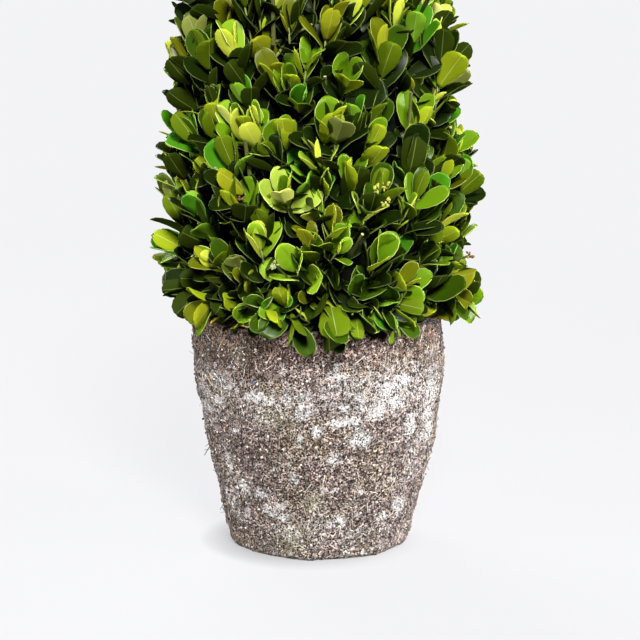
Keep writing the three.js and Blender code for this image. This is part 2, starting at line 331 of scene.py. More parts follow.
# sprays that hang over the rim all round, and the strays that stand out of the clipped outline:
# turn in degrees from the front, tip radius, tip height, elevation, sideways swing, size and,
# where it has a colour of its own, its place in sprayFamilies
skirt = {
    "count": 40, "rootRadius": 0.036, "rootHeight": 0.112,
    # tip height, tip radius and elevation of the three rings that its sprays take in turn
    "rings": [(0.1015, 0.0645, -30), (0.108, 0.062, -14), (0.113, 0.066, -4)],
    "strays": [
        (-78, 0.078, 0.137, 8, -20, 1.05), (-84, 0.073, 0.128, -4, 10, 1.0),
        (-70, 0.071, 0.116, -16, -10, 1.0), (-95, 0.071, 0.120, -12, 10, 0.95),
        (15, 0.069, 0.104, -38, 0, 1.0, 12), (27, 0.070, 0.106, -30, -8, 0.95),
        (72, 0.070, 0.112, -34, 10, 1.0), (84, 0.070, 0.106, -38, 0, 1.0),
        (66, 0.071, 0.104, -44, -10, 0.95), (92, 0.070, 0.118, -14, 14, 0.9),
        (6, 0.071, 0.101, -46, 4, 1.1, 12), (-48, 0.074, 0.108, -30, 0, 1.0),
        (150, 0.078, 0.112, -24, 10, 1.0), (205, 0.077, 0.124, 0, -12, 1.0),
        (242, 0.078, 0.110, -28, 0, 1.0), (-12, 0.0715, 0.171, 42, 4, 1.12, 10),
        (-33, 0.0715, 0.172, 40, -12, 1.1, 9), (4, 0.0695, 0.198, 48, 8, 1.05, 8),
        (9, 0.0735, 0.146, 30, 10, 1.0, 8), (178, 0.0805, 0.133, 6, 0, 1.05, 3),
        (168, 0.0795, 0.142, 14, 6, 1.0, 2),
    ],
}


def growSkirt():
    twigs = []
    for number in range(skirt["count"]):
        index = 5000 + number
        turn = number / skirt["count"] * math.tau + math.radians(jitter(index, 1, 8)) - math.pi / 2
        height, radius, elevation = skirt["rings"][number % 3]
        height += jitter(index, 2, 0.004)
        radius += jitter(index, 3, 0.003)
        elevation += jitter(index, 4, 18)
        twigs.append(skirtTwig(index, turn, radius, height, elevation, jitter(index, 5, 25)))
    for number, stray in enumerate(skirt["strays"]):
        angle, radius, height, elevation, swing, size, *family = stray
        turn = math.radians(angle) - math.pi / 2
        twigs.append(skirtTwig(5100 + number, turn, radius, height, elevation, swing, size))
        twigs[-1]["family"] = family[0] if family else None
    return twigs


def skirtTwig(index, turn, radius, height, elevation, swing, size=1.0):
    return {"index": index, "sprig": 0, "turn": turn, "size": size,
            "root": atTurn(turn, skirt["rootRadius"], skirt["rootHeight"]),
            "tip": atTurn(turn, radius, height),
            "along": directionOf(turn + math.radians(swing), elevation)}


def growLeaves(twigs):
    # base, direction, across, length, half width, cup, bend, and who it belongs to
    rows = []
    for twig in twigs:
        index, along = twig["index"], twig["along"]
        out = Vector((math.cos(twig["turn"]), math.sin(twig["turn"]), 0))
        side = along.cross(Vector((0, 0, 1))).normalized() if along.z < 0.98 else Vector((1, 0, 0))
        up = along.cross(side)
        light = (out + Vector((0, 0, 0.6))).normalized()
        firstTurn = chance(index, 5) * math.pi
        size = twig.get("size", 1) * (1 + jitter(index, 6, leaf["lengthJitter"] * 0.5))
        openness = 0.55 + 0.75 * chance(index, 7)
        slender = 1 + jitter(index, 13, leaf["widthJitter"] * 0.6)
        for pair, (back, spread, pairSize) in enumerate(leaf["pairs"]):
            if pair == 4 and chance(index, 14) < 0.4:
                continue
            for hand in range(2):
                draw = 10 + pair * 16 + hand * 8
                turn = firstTurn + (pair / 2 + hand) * math.pi + jitter(index, draw, 0.35)
                outwards = side * math.cos(turn) + up * math.sin(turn)
                lean = math.radians(spread * openness + jitter(index, draw + 1, 14))
                direction = along * math.cos(lean) + outwards * math.sin(lean)
                facing = leaf["facing"] + jitter(index, draw + 2, leaf["facingJitter"])
                upper = along * math.sin(lean) - outwards * math.cos(lean) + light * facing
                across = direction.cross(upper).normalized()
                twist = math.radians(jitter(index, draw + 3, leaf["twist"]))
                across.rotate(Quaternion(direction, twist))
                longer = 1 + jitter(index, draw + 4, leaf["lengthJitter"] * 0.6)
                wider = 1 + jitter(index, draw + 5, leaf["widthJitter"] * 0.6)
                length = leaf["length"] * size * pairSize * longer
                half = length * leaf["widthShare"] * slender * wider / 2
                base = twig["tip"] - along * (leaf["length"] * 0.8 + back)
                rows.append((base, direction, across, length, half,
                             leaf["fold"] * (0.2 + 1.6 * chance(index, draw + 6)),
                             jitter(index, draw + 7, leaf["bend"]) + 0.04,
                             twig["sprig"], index, pair, twig.get("family"),
                             chance(index * 11 + pair * 2 + hand, 15) * math.tau))
    return rows


stations = [0.0, 0.13, 0.36, 0.60, 0.80, 0.93, 1.0]       # along a leaf from its stalk to its tip
halfWidths = [0.07, 0.36, 0.80, 1.0, 0.94, 0.66, 0.22]     # of an obovate leaf at each station


def leafBlank():
    # a flat blade of unit length and half width, thin at its rim: x across, y along, z through it
    bm = bmesh.new()
    bmesh.ops.create_grid(bm, x_segments=5, y_segments=6, size=0.5)
    columns = [-1.0, -leaf["rimFrom"], -0.028, 0.028, leaf["rimFrom"], 1.0]
    for vert in bm.verts:
        vert.co = (columns[round((vert.co.x + 0.5) * 5)], stations[round((vert.co.y + 0.5) * 6)], 0)
    bmesh.ops.recalc_face_normals(bm, faces=bm.faces)
    if bm.faces[:][0].normal.z < 0:
        bmesh.ops.reverse_faces(bm, faces=bm.faces)
    bmesh.ops.solidify(bm, geom=bm.faces[:], thickness=1.0)
    middle = sum(vert.co.z for vert in bm.verts) / len(bm.verts)
    for vert in bm.verts:
        if abs(vert.co.x) > 0.99 or vert.co.y < 0.001 or vert.co.y > 0.999:
            vert.co.z = middle
    bmesh.ops.remove_doubles(bm, verts=bm.verts, dist=1e-4)
    bm.normal_update()
    points, faces = blankShape(bm)
    centre = points[faces].mean(axis=1)
    isUpper = centre[:, 2] > middle
    isRim = (np.abs(centre[:, 0]) > leaf["rimFrom"]) & isUpper
    isRib = (np.abs(centre[:, 0]) < 0.1) & ~isUpper
    return points, faces, np.where(isRim | isRib, 2, np.where(isUpper, 0, 1))


def leafPoints(rows, blank):
    base = np.array([r[0] for r in rows])[:, None]
    along = unit(np.array([r[1] for r in rows]))[:, None]
    across = unit(np.array([r[2] for r in rows]))[:, None]
    across = unit(across - along * (along * across).sum(-1, keepdims=True))
    upper = np.cross(across, along)
    length, half, fold, bend, phase = [
        np.array([r[i] for r in rows])[:, None, None] for i in (3, 4, 5, 6, 11)]
    v = blank[None, :, 0:1]
    u = blank[None, :, 1:2]
    w = blank[None, :, 2:3]
    width = np.interp(u, stations, halfWidths) * v
    lift = half * fold * np.abs(width) + bend * length * (u ** 2 - 0.25 * u)
    lift = lift + half * leaf["wave"] * width * np.sin(u * 7 + phase) * (1 - u ** 3)
    through = (w - w.max()) * leaf["thickness"]
    reach = u * length * (1 - 0.12 * np.abs(bend))       # a bent leaf reaches less far
    return base + along * reach + across * (width * half) + upper * (lift + through)


# boxwood leaves, waxed and preserved: satin upper sides, duller and yellower undersides with a
# pale midrib. Sprays differ in colour, and each is dealt one family of tints.
leafTints = {
    # deep is the darkest sprays' own green, and also the painted shade dealt to leaves deep in the
    # crown
    "deep": ("#111d02", "#222d04", "#56632c"),
    "forest": ("#2a4004", "#4e6009", "#788842"),
    "midGreen": ("#54740b", "#7e8c14", "#9cab54"),
    "fresh": ("#74951a", "#a0a932", "#b4bc66"),
    "bright": ("#92a73a", "#b0b656", "#bac074"),
    "lime": ("#a4b04c", "#bcc268", "#c6ca80"),
    "olive": ("#505606", "#7c8014", "#90944c"),
    "greyGreen": ("#3c4a12", "#6c7434", "#889262"),
    "cool": ("#386c0c", "#688e20", "#88a654"),
}
# from the darkest sprays to the brightest
sprayFamilies = [
    ("deep", "forest", "midGreen"), ("deep", "olive", "forest"), ("forest", "greyGreen", "deep"),
    ("forest", "cool", "midGreen"), ("forest", "midGreen", "deep"), ("midGreen", "forest", "fresh"),
    ("midGreen", "olive", "forest"), ("forest", "fresh", "olive"), ("midGreen", "fresh", "cool"),
    ("olive", "midGreen", "bright"), ("fresh", "bright", "midGreen"), ("fresh", "lime", "midGreen"),
    # painted shade: this last family darkens the strays over the front rim that face the key lamp
    ("forest", "deep", "forest"),
]
dealt = 12                    # the last family is for sprays that are given it
tintShares = (0.4, 0.7)       # up to where a family's first and second tints are picked
# painted shade: the further a pair sits below the twig's tip, the more of its leaves are dealt deep
# green
paintedShadeShares = (0.05, 0.22, 0.72, 0.96, 1)     # of each pair's leaves that are deep green instead

# roughness and specular level of the leaf's upper side, underside, and rim and rib
leafLooks = {"Upper": (0.34, 0.13), "Under": (0.6, 0.03), "Rib": (0.6, 0.03)}


def leafMaterials():
    made = []
    for name, colours in leafTints.items():
        for (part, (roughness, specular)), hexColour in zip(leafLooks.items(), colours):
            made.append(newMaterial(f"waxedLeaf{part}{name[0].upper()}{name[1:]}", {
                "Base Color": linear(hexColour), "Roughness": roughness,
                "Specular IOR Level": specular,
            })[0])
    return made


def tintIndex(sprig, index, pair, chosen, height):
    # painted shade: the lowest sprays, in the crown's own shade, are dealt the darker families
    shaded = 0.62 + 0.38 * min(1, max(0, (height - 0.10) / 0.05))
    deal = (chance(sprig, 8) * 0.35 + chance(index, 8) * 0.65) * shaded
    family = sprayFamilies[int(deal * dealt) if chosen is None else chosen]
    pick = chance(index, 9) * 0.5 + chance(index * 3 + pair, 9) * 0.5
    tint = family[int(np.searchsorted(tintShares, pick, side="right"))]
    # painted shade: leaves of the inner pairs are dealt the darkest green
    if chance(index * 5 + pair, 12) < paintedShadeShares[pair]:
        tint = "deep"
    return list(leafTints).index(tint)


potShape = {
    "height": 0.104, "rimRadius": 0.056, "footRadius": 0.0405, "uprightFrom": 0.91,
    "wall": 0.008, "floor": 0.009, "footRounding": 0.003, "rimRounding": 0.0025,
}


def potRadius(height):
    share = np.minimum(1, np.maximum(0, height) / (potShape["height"] * potShape["uprightFrom"]))
    widening = potShape["rimRadius"] - potShape["footRadius"]
    return potShape["footRadius"] + widening * np.sin(share * math.pi / 2)


def clearOfPot(points):
    # true for each leaf with no corner inside the pot's wall or its fill
    radius = np.hypot(points[..., 0], points[..., 1])
    height = points[..., 2]
    inWall = (height < potShape["height"] + 0.001) & (radius < potRadius(height) + 0.0008)
    return ~inWall.any(axis=1)


# each leaf piece with the solid that it takes part in replacing and the heights it spans
leafTiers = [
    ("leavesSkirt", "foliage_lower", 0, 0.142),
    ("leavesLower", "foliage_lower", 0.142, 0.180),
    ("leavesMiddle", "foliage_middle", 0.180, 0.218),
    ("leavesUpper", "foliage_middle", 0.218, 0.262),
    ("leavesTop", "foliage_top", 0.262, 1),
]


def makeLeaves(materials):
    blank, faces, part = leafBlank()
    rows = growLeaves(allTwigs)
    points = leafPoints(rows, blank)
    keep = clearOfPot(points) & (points[..., 2].max(axis=1) < cadBounds[1][2] + 0.008)
    height = np.array([r[0][2] for r in rows])
    tints = np.array([tintIndex(*r[7:11], r[0][2]) for r in rows])
    slots = tints[:, None] * 3 + part[None]
    for name, node, low, high in leafTiers:
        inTier = keep & (height >= low) & (height < high)
        piece = joinedCopies(name, points[inTier], faces, slots[inTier], materials)
        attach(piece, "root")
        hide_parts(node)
        print(name, int(inTier.sum()), "leaves,", int(inTier.sum()) * len(faces) * 2, "triangles")


print("leaves")
allTwigs = growTwigs() + growSkirt()
makeLeaves(leafMaterials())


finerTwig = {"rootThickness": 0.0008, "tipThickness": 0.0006, "taper": 0.72, "knee": 0.019}


def makeTwigs():
    # preserved twigs: thin, straw green, a little rough
    material = newMaterial("twigStrawGreen", {
        "Base Color": linear("#6c7639"), "Roughness": 0.75, "Specular IOR Level": 0.3,
    })[0]
    bm = bmesh.new()
    bmesh.ops.create_cone(bm, cap_ends=True, cap_tris=False, segments=4, radius1=1.0,
                          radius2=finerTwig["taper"], depth=1.0)
    bmesh.ops.translate(bm, verts=bm.verts, vec=(0, 0, 0.5))
    blank, faces = blankShape(bm)
    copies = []
    for twig in allTwigs:
        # out from the sprig's root to a knee below the leaves, then along under the pairs
        end = twig["tip"] - twig["along"] * leaf["length"] * 0.66
        knee = twig["tip"] - twig["along"] * (leaf["length"] * 0.8 + finerTwig["knee"])
        for start, stop, thick in ((twig["root"], knee, finerTwig["rootThickness"]),
                                   (knee, end, finerTwig["tipThickness"])):
            span = stop - start
            turn = Vector((0, 0, 1)).rotation_difference(span.normalized()).to_matrix()
            local = blank * np.array([thick, thick, span.length])
            copies.append(local @ np.array(turn).T + np.array(start))
    points = np.array(copies)
    keep = clearOfPot(points)
    slots = np.zeros((int(keep.sum()), len(faces)))
    piece = joinedCopies("twigs", points[keep], faces, slots, [material])
    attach(piece, "root")


# cut ends and bud clusters: turn in degrees from the front, height, how far inside the outline
cutEnds = {
    "places": [
        (27, 0.139, 0.010), (72, 0.122, 0.001), (16, 0.147, 0.008), (13, 0.113, 0.008),
        (-84, 0.141, -0.001), (-30, 0.188, 0.009), (40, 0.205, 0.009),
    ],
    "scattered": 20, "length": 0.024, "radius": 0.00066,
}
buds = {
    "places": [
        (20, 0.166, 0.004), (-15, 0.135, 0.003), (66, 0.134, 0.002), (24, 0.160, 0.005),
        (-42, 0.172, 0.008),
    ],
    "tones": [0, 1, 2, 0, 1],                     # the placed clusters' colours
    "scattered": 12, "inCluster": 11, "size": 0.00105, "spread": 0.0017,
}


def seat(angle, height, inset):
    turn = math.radians(angle) - math.pi / 2
    return turn, atTurn(turn, outlineRadius(height) - inset, height)


def scatteredPlaces(count, first):
    places = []
    for number in range(count):
        height = float(np.interp(chance(first + number, 1) * areaTable[-1], areaTable, heightTable))
        inset = 0.008 + 0.007 * chance(first + number, 3)
        places.append((chance(first + number, 2) * 360, max(0.108, height), inset))
    return places


def makeCutEnds():
    # clipped twig ends: grey green bark round a pale, freshly cut face
    bark = newMaterial("twigBark", {
        "Base Color": linear("#484c20"), "Roughness": 0.8, "Specular IOR Level": 0.2})[0]
    wood = newMaterial("cutWood", {
        "Base Color": linear("#b9b57e"), "Roughness": 0.7, "Specular IOR Level": 0.2})[0]
    bm = bmesh.new()
    stalks = buds["places"] + scatteredPlaces(buds["scattered"], 9500)
    placed = len(stalks) + len(cutEnds["places"])
    ends = stalks + cutEnds["places"] + scatteredPlaces(cutEnds["scattered"], 9000)
    for number, (angle, height, inset) in enumerate(ends):
        turn, end = seat(angle, height, inset)
        index = 9200 + number
        aside = math.radians(jitter(index, 1, 14 if number < placed else 36))
        lift = (10 + jitter(index, 2, 25)) * min(1, (height - 0.1) / 0.06)
        along = directionOf(turn + aside, min(85, elevationAt(height) + lift))
        radius = cutEnds["radius"] * (0.75 + 0.6 * chance(index, 3))
        if number < len(stalks):
            radius *= 0.6                             # the stalk of a bud cluster
        toCore = min(crown["coreInset"], outlineRadius(height) * 0.6) + 0.003 - inset
        length = min(cutEnds["length"], max(0.009, toCore / math.sqrt(1 - along.z ** 2)))
        upright = along.to_track_quat("Z", "Y").to_matrix().to_4x4()
        made = bmesh.ops.create_cone(
            bm, cap_ends=True, segments=8, radius1=radius * 1.15, radius2=radius, depth=length,
            matrix=Matrix.Translation(end - along * length / 2) @ upright)
        caps = [f for f in {f for v in made["verts"] for f in v.link_faces} if len(f.verts) > 4]
        for face in caps:
            face.material_index = 1
        outer = [face for face in caps if face.normal.dot(along) > 0.5]
        bmesh.ops.inset_region(bm, faces=outer, thickness=radius * 0.22, depth=0)
        for face in {f for v in made["verts"] for f in v.link_faces}:
            if len(face.verts) == 4 and abs(face.normal.dot(along)) > 0.5:
                face.material_index = 0               # the ring of bark round the cut wood
    piece = fromBmesh("cutEnds", bm, [bark, wood], smooth=False)
    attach(piece, "root")


def makeBuds():
    # clusters of small closed flower buds, yellow green to brown
    colours = {"yellowGreen": "#949640", "greyGreen": "#7c885c", "brown": "#6f4c30"}
    bm = bmesh.new()
    bmesh.ops.create_icosphere(bm, subdivisions=1, radius=1.0)
    blank, faces = blankShape(bm)
    copies, slots = [], []
    places = buds["places"] + scatteredPlaces(buds["scattered"], 9500)
    for number, (angle, height, inset) in enumerate(places):
        turn, middle = seat(angle, height, inset)
        tone = int(chance(9700 + number, 1) * 3)
        if number < len(buds["tones"]):
            tone = buds["tones"][number]
        for bud in range(buds["inCluster"]):
            index = 9800 + number * 16 + bud
            away = Vector((jitter(index, 1, 1), jitter(index, 2, 1), jitter(index, 3, 1)))
            size = buds["size"] * (0.5 + 0.5 * chance(index, 4))
            aimed = away.normalized().to_track_quat("Z", "Y").to_matrix()
            shape = blank * np.array([0.7, 0.7, 1.15]) * size
            copies.append(shape @ np.array(aimed).T + np.array(middle + away * buds["spread"]))
            slots.append(tone if chance(index, 5) < 0.8 else 0)
    piece = joinedCopies("buds", np.array(copies), faces, sameSlots(slots, faces),
                         plainMaterials("bud", colours, 0.7))
    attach(piece, "root")


print("twigs, cut ends and buds")
makeTwigs()
makeCutEnds()
makeBuds()


core = {
    "foot": 0.1008, "footRadius": 0.044, "shoulder": 0.106, "belowTip": 0.05, "steps": 30,
    "tufts": 0.0025, "fineTufts": 0.0012,     # how far its moss stands out and in
}


def makeCore():
    # packed moss and twigs, painted almost black as the shade that fills the crown between the
    # leaves
    material, tree, shader = newMaterial("packedMossInPaintedShade", {
        "Roughness": 1.0, "Specular IOR Level": 0.1})
    place = addNode(tree, "TexCoord").outputs["Object"]
    tufts = addNode(tree, "TexNoise", None, {"Vector": place, "Scale": 400, "Detail": 3})
    # painted shade: near-black tones for the dark inside of the crown
    colour = addNode(tree, "ValToRGB", None, {"Fac": tufts.outputs["Fac"]},
                     [(0.3, "#020301"), (0.6, "#060903"), (0.8, "#0e1207")])
    tree.links.new(colour.outputs["Color"], shader.inputs["Base Color"])
    profile = [(0.0, core["foot"]), (core["footRadius"], core["foot"])]
    profile.append((core["footRadius"] + 0.0005, core["shoulder"] - 0.0005))
    top = crown["tipHeight"] - core["belowTip"]
    for i in range(core["steps"] + 1):
        height = core["shoulder"] + (top - core["shoulder"]) * i / core["steps"]
        outer = outlineRadius(height)
        profile.append((outer - min(crown["coreInset"], outer * 0.6), height))
    profile.append((0.0, top + 0.004))
    bm = turned(profile, steps=96, merge=1e-5)
    for vert in bm.verts:
        if vert.co.z < 0.104:
            continue
        push = noise.noise(vert.co * 160) * core["tufts"]
        push += noise.noise(vert.co * 420) * core["fineTufts"]
        vert.co += vert.normal * push
    piece = fromBmesh("mossCoreInPaintedShade", bm, [material])
    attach(piece, "root")


print("core")
makeCore()


stemShape = {
    "foot": 0.1004, "top": 0.322, "flareRadius": 0.012, "flareHeight": 0.014,
    "radius": 0.0065, "topRadius": 0.0026, "lean": 0.005, "bend": 0.0025,
}


def makeStem():
    # boxwood bark: pale brown grey, in fine lengthwise ridges
    material, tree, shader = newMaterial("boxwoodBark", {
        "Roughness": 0.85, "Specular IOR Level": 0.25})
    place = addNode(tree, "TexCoord").outputs["Object"]
    stretched = addNode(tree, "Mapping", None, {"Vector": place, "Scale": (900, 900, 160)})
    ridges = addNode(tree, "TexNoise", None, {
        "Vector": stretched.outputs["Vector"], "Scale": 1.0, "Detail": 4})
    colour = addNode(tree, "ValToRGB", None, {"Fac": ridges.outputs["Fac"]},
                     [(0.3, "#4b3f2c"), (0.55, "#7d6f57"), (0.75, "#a09376")])
    tree.links.new(colour.outputs["Color"], shader.inputs["Base Color"])
    bump = addNode(tree, "Bump", None, {
        "Height": ridges.outputs["Fac"], "Distance": 0.0004, "Strength": 0.8})
    tree.links.new(bump.outputs["Normal"], shader.inputs["Normal"])
    profile = [(0.0, stemShape["foot"])]
    for i in range(41):
        share = (i / 40) ** 1.4
        height = stemShape["foot"] + (stemShape["top"] - stemShape["foot"]) * share
        flare = max(0, 1 - (height - stemShape["foot"]) / stemShape["flareHeight"]) ** 2
        radius = stemShape["radius"] + (stemShape["topRadius"] - stemShape["radius"]) * share
        profile.append((radius + flare * (stemShape["flareRadius"] - stemShape["radius"]), height))
    profile.append((0.0, stemShape["top"]))
    bm = turned(profile, steps=40, merge=1e-5)
    for vert in bm.verts:
        share = (vert.co.z - stemShape["foot"]) / (stemShape["top"] - stemShape["foot"])
        turn = math.atan2(vert.co.y, vert.co.x)
        ridge = noise.noise(Vector((math.cos(turn) * 3, math.sin(turn) * 3, vert.co.z * 60)))
        if 0 < share < 1:
            vert.co += Vector((vert.co.x, vert.co.y, 0)) * (ridge * 0.09 - 0.05)
        vert.co.x += stemShape["lean"] * share
        vert.co.y += stemShape["bend"] * math.sin(share * math.tau)
    piece = fromBmesh("stemBark", bm, [material])
    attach(piece, "root")
    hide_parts("stem")


print("stem")
makeStem()


potLook = {
    "segments": 420, "wallRings": 128,
    "middleRadius": 0.052,                    # of the wall, turns lime's half width to degrees
    "lump": 0.0011, "grain": 0.00062,         # height of the wide lumps and of the grains
    # how far the hand-pressed wall stands off its plain curve, by height
    "wallShift": [
        (0, 0), (0.012, -0.0004), (0.027, -0.0009), (0.046, -0.0010), (0.064, -0.0006),
        (0.073, 0.0003), (0.084, 0.0010), (0.092, 0.0011), (0.104, 0.0008),
    ],
    # how far its right side stands out further, by height
    "rightShift": [
        (0.012, 0), (0.025, 0.0010), (0.033, 0.0019), (0.060, 0.0021), (0.072, 0.0011),
        (0.083, 0), (0.092, -0.0011), (0.100, -0.0014),
    ],
    # green film and ochre stains: turn from the front, height, half turn, half height, strength
    "mossPatches": [
        (-3, 0.028, 5, 0.005, 0.6), (-15, 0.0105, 8, 0.006, 0.65), (-38, 0.093, 6, 0.005, 0.3),
        (-24, 0.066, 9, 0.005, 0.5), (140, 0.02, 30, 0.012, 0.8), (230, 0.085, 16, 0.008, 0.6),
    ],
    "stains": [
        (61, 0.0985, 3.5, 0.005, 1.0), (66, 0.089, 2, 0.004, 0.6), (170, 0.096, 4, 0.005, 0.8),
    ],
    # damper and so darker places, given in the same way
    "darkPatches": [
        (-36, 0.0925, 14, 0.008, 1.0), (-57, 0.0925, 9, 0.007, 0.5),
        (-36, 0.0505, 16, 0.0105, 0.42), (115, 0.045, 20, 0.012, 0.4),
        (200, 0.098, 25, 0.007, 0.7), (262, 0.03, 14, 0.01, 0.35),
    ],
    # lime bloom, thin veils and thick tufts: turn in degrees from the front, height, half width,
    # half height, strength
    "limeVeils": [
        (28, 0.079, 0.029, 0.0105, 0.4), (42, 0.079, 0.014, 0.012, 0.33),
        (-10, 0.074, 0.0105, 0.0075, 0.4), (-49, 0.079, 0.009, 0.006, 0.42),
        (-68, 0.073, 0.007, 0.0084, 0.4), (11, 0.084, 0.0095, 0.0053, 0.22),
        (63, 0.069, 0.0085, 0.0175, 0.45), (-27, 0.0685, 0.0126, 0.0062, 0.22),
        (54, 0.041, 0.0054, 0.0074, 0.28), (56, 0.052, 0.004, 0.0082, 0.3),
        (-65, 0.0595, 0.0052, 0.0046, 0.3), (41, 0.040, 0.0082, 0.0055, 0.16),
        (-9, 0.064, 0.0087, 0.0044, 0.2), (-14, 0.014, 0.014, 0.008, 0.32),
        (22, 0.010, 0.012, 0.007, 0.26), (42, 0.014, 0.008, 0.008, 0.24),
        (-57, 0.021, 0.005, 0.009, 0.42), (0, 0.016, 0.008, 0.007, 0.28),
    ],
    "limeTufts": [
        (19, 0.0755, 0.0027, 0.0022, 0.8), (12, 0.0714, 0.0024, 0.0022, 0.85),
        (19, 0.0701, 0.0027, 0.0022, 0.8), (27, 0.069, 0.0044, 0.0036, 0.9),
        (30, 0.079, 0.0035, 0.0031, 0.8), (9, 0.0646, 0.0039, 0.0018, 0.75),
        (16, 0.0652, 0.0031, 0.002, 0.75), (19, 0.061, 0.0023, 0.0027, 0.55),
        (20, 0.0563, 0.0046, 0.0031, 0.85), (48, 0.06, 0.0026, 0.005, 0.95),
        (63, 0.0634, 0.0045, 0.0041, 0.9), (65, 0.0549, 0.0052, 0.0042, 0.8),
        (40, 0.0815, 0.004, 0.0036, 0.7), (62, 0.0747, 0.0038, 0.0046, 0.8),
        (36, 0.0731, 0.0048, 0.0027, 0.8), (7, 0.0473, 0.002, 0.0022, 0.8),
        (16, 0.0469, 0.0011, 0.0013, 0.7), (3, 0.0339, 0.0013, 0.0011, 0.8),
        (9, 0.0337, 0.0013, 0.0011, 0.8), (48, 0.0241, 0.0047, 0.0028, 0.75),
        (52, 0.0214, 0.0033, 0.0042, 0.7), (23, 0.0319, 0.0017, 0.0014, 0.7),
        (7, 0.0901, 0.0013, 0.0017, 0.6), (5, 0.0862, 0.0013, 0.0031, 0.7),
        (9, 0.0844, 0.0026, 0.0022, 0.75), (-29, 0.0747, 0.0044, 0.0024, 0.95),
        (-22, 0.0739, 0.0023, 0.0018, 0.95), (-7, 0.0693, 0.0034, 0.0024, 0.85),
        (-14, 0.0758, 0.0035, 0.0026, 0.6), (-55, 0.0704, 0.0054, 0.002, 0.8),
        (-69, 0.0647, 0.0075, 0.0023, 0.7), (-45, 0.0577, 0.0037, 0.0011, 0.7),
        (-53, 0.0434, 0.0022, 0.006, 0.85), (-45, 0.0312, 0.0037, 0.0032, 0.95),
        (-33, 0.0299, 0.0037, 0.0018, 0.9), (-9, 0.0569, 0.0015, 0.0027, 0.7),
        (-1, 0.0607, 0.0019, 0.0027, 0.7), (-28, 0.0657, 0.0017, 0.0016, 0.6),
        (-15, 0.0493, 0.0013, 0.0013, 0.7), (-24, 0.0422, 0.0014, 0.0011, 0.7),
        (-13, 0.0391, 0.0018, 0.0027, 0.7), (-16, 0.0876, 0.0018, 0.0018, 0.45),
        (-62, 0.0258, 0.0029, 0.0033, 0.6), (-30, 0.0232, 0.0023, 0.0018, 0.9),
        (-22, 0.0249, 0.0029, 0.0018, 0.85), (-23, 0.0205, 0.0043, 0.0018, 0.8),
        (-44, 0.0205, 0.0018, 0.0023, 0.6), (12, 0.0184, 0.0032, 0.0027, 0.95),
        (6, 0.0177, 0.0022, 0.0018, 0.7), (8, 0.0477, 0.0022, 0.0027, 0.6),
        (21, 0.0553, 0.0032, 0.0018, 0.6), (22, 0.0211, 0.0014, 0.0011, 0.7),
        (37, 0.019, 0.0028, 0.0018, 0.75), (51, 0.0231, 0.0035, 0.0037, 0.5),
        (18, 0.0031, 0.0023, 0.0009, 0.5), (28, 0.0023, 0.002, 0.0009, 0.5),
    ],
    "veilsBehind": 14, "tuftsBehind": 85,
}


def limeBehind():
    # the same kind of veils and tufts round the sides and back, the tufts mostly in the veils
    veils, tufts = [], []
    for number in range(potLook["veilsBehind"]):
        turn = 84 + 192 * (number + 0.3 + 0.4 * chance(number, 61)) / potLook["veilsBehind"]
        middle, spread = (0.070, 0.012) if number % 3 else (0.032, 0.018)
        halfWidth = 0.007 + 0.014 * chance(number, 63)
        halfHeight = 0.004 + 0.007 * chance(number, 64)
        veils.append((turn, middle + jitter(number, 62, spread), halfWidth, halfHeight,
                      0.22 + 0.22 * chance(number, 65)))
    for number in range(potLook["tuftsBehind"]):
        if number % 4:
            turn, height, halfWidth, halfHeight, strength = veils[number % len(veils)]
            turn += jitter(number, 66, 1.3) * math.degrees(halfWidth / potLook["middleRadius"])
            height += jitter(number, 67, 1.3) * halfHeight
        else:
            turn, height = 82 + 196 * chance(number, 66), 0.006 + 0.09 * chance(number, 67)
        size = 0.0011 + 0.0032 * chance(number, 68) ** 1.6
        tufts.append((turn, height, size * (0.7 + 0.7 * chance(number, 69)),
                      size * (0.6 + 0.8 * chance(number, 70)), 0.55 + 0.4 * chance(number, 71)))
    return veils + tufts


limePlaces = np.array(potLook["limeVeils"] + potLook["limeTufts"] + limeBehind())


def limeAt(point):
    # how much lime lies on a place of the wall
    turn = math.degrees(math.atan2(point.y, point.x)) + 90
    sideways = (turn - limePlaces[:, 0] + 180) % 360 - 180
    across = np.radians(sideways) * potLook["middleRadius"] / (limePlaces[:, 2] * 1.2)
    upward = (point.z - limePlaces[:, 1]) / (limePlaces[:, 3] * 1.2)
    return float((np.exp(-(across ** 2 + upward ** 2)) * limePlaces[:, 4]).max())


def byHeight(places, height):
    return float(np.interp(height, [place[0] for place in places], [place[1] for place in places]))


def potRelief(point):
    # how far the wall's lumps, its grains and its fuller right side stand off the plain curve
    lump = noise.noise(point * 55) + 0.55 * noise.noise(point * 150)
    grain = noise.noise(point * 520) + 0.9 * noise.noise(point * 1050)
    right = max(0.0, point.x / math.hypot(point.x, point.y, 0.001)) ** 2
    fuller = right * byHeight(potLook["rightShift"], point.z)
    return lump * potLook["lump"] + grain * potLook["grain"] + fuller


def wallRadius(height):
    return float(potRadius(height)) + byHeight(potLook["wallShift"], height)


def wallPoint(turn, height, proud=0.0):
    # a place on the rough outer wall, and the way out from it
    point = atTurn(turn, wallRadius(height), height)
    slope = (wallRadius(height + 0.001) - wallRadius(height - 0.001)) / 0.002
    outwards = Vector((math.cos(turn), math.sin(turn), -slope)).normalized()
    return point + outwards * (potRelief(point) + proud), outwards


